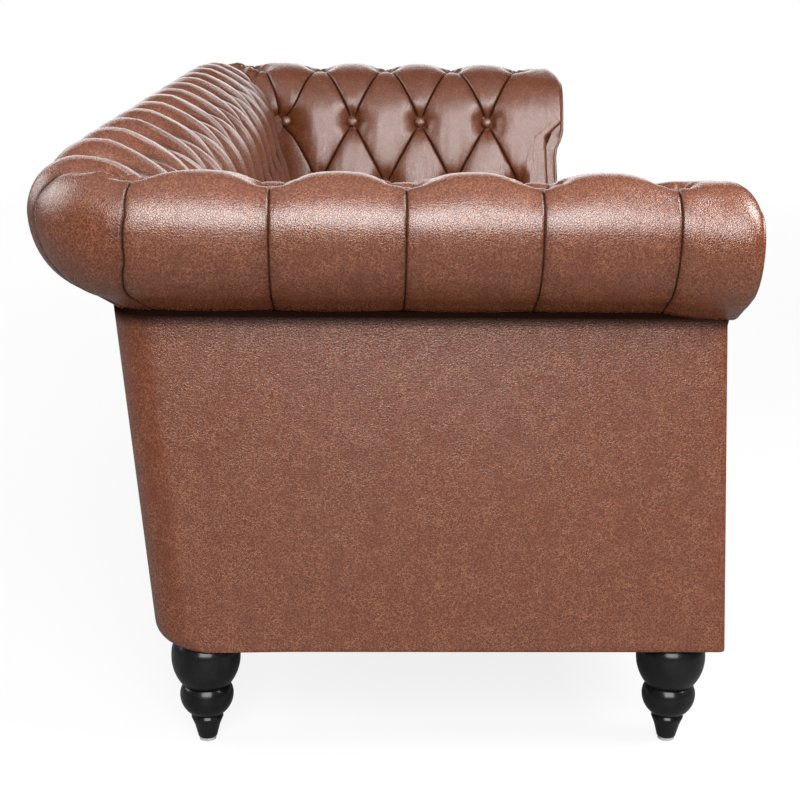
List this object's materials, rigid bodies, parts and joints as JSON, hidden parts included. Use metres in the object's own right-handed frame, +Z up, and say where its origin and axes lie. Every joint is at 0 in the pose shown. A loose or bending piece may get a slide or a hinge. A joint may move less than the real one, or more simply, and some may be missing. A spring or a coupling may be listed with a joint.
{
  "type": "rolled arm sofa",
  "caption": "Rolled arm sofa with buttoned arms and back of one height, loose seat cushions and turned feet.",
  "frame": {"origin": "centre of the footprint on the floor", "axes": "+X along the width to the sitter's left, +Y to the back, +Z up; the sofa faces -Y"},
  "size_m": [2.15, 0.866, 0.7596],
  "materials": {
    "brown_leather": "satin pebbled",
    "button_leather": "satin",
    "frame_timber": "sawn",
    "plywood": "sanded",
    "black_lacquer": "satin lacquer",
    "zinc_steel": "zinc plated",
    "black_cloth": "matt",
    "nylon": "matt"
  },
  "bodies": {
    "sofa": {"front_rail": "frame_timber", "back_rail": "frame_timber", "left_side_rail": "frame_timber", "right_side_rail": "frame_timber", "centre_rail": "frame_timber", "corner_blocks": "frame_timber", "left_front_post": "frame_timber", "right_front_post": "frame_timber", "left_arm_rear_post": "frame_timber", "right_arm_rear_post": "frame_timber", "back_uprights": "frame_timber", "left_arm_top_rail": "frame_timber", "right_arm_top_rail": "frame_timber", "back_top_rail": "frame_timber", "left_roll_rail": "frame_timber", "right_roll_rail": "frame_timber", "back_roll_rail": "frame_timber", "left_arm_tack_rail": "frame_timber", "right_arm_tack_rail": "frame_timber", "back_tack_rail": "frame_timber", "left_arm_board": "plywood", "right_arm_board": "plywood", "back_board": "plywood", "seat_springs": "zinc_steel", "spring_clips": "zinc_steel", "seat_deck": "black_cloth", "dust_cover": "black_cloth", "left_arm_pad": "brown_leather", "right_arm_pad": "brown_leather", "back_pad": "brown_leather", "left_outer_panel": "brown_leather", "right_outer_panel": "brown_leather", "back_outer_panel": "brown_leather", "left_arm_facing": "brown_leather", "right_arm_facing": "brown_leather", "front_border": "brown_leather", "left_arm_buttons": "button_leather", "right_arm_buttons": "button_leather", "back_crest_buttons": "button_leather", "back_middle_buttons": "button_leather", "back_lower_buttons": "button_leather", "front_left_foot": "black_lacquer", "front_right_foot": "black_lacquer", "rear_left_foot": "black_lacquer", "rear_right_foot": "black_lacquer", "centre_foot": "black_lacquer", "foot_screws": "zinc_steel", "foot_inserts": "zinc_steel", "foot_glides": "nylon"},
    "left_cushion": {"left_seat_cushion": "brown_leather"},
    "centre_cushion": {"centre_seat_cushion": "brown_leather"},
    "right_cushion": {"right_seat_cushion": "brown_leather"}
  },
  "joints": [
    {"name": "left_cushion_lift", "type": "slide", "parent": "sofa", "child": "left_cushion", "axis": [0, 0, 1], "range_m": [0, 0.46]},
    {"name": "centre_cushion_lift", "type": "slide", "parent": "sofa", "child": "centre_cushion", "axis": [0, 0, 1], "range_m": [0, 0.46]},
    {"name": "right_cushion_lift", "type": "slide", "parent": "sofa", "child": "right_cushion", "axis": [0, 0, 1], "range_m": [0, 0.46]}
  ]
}
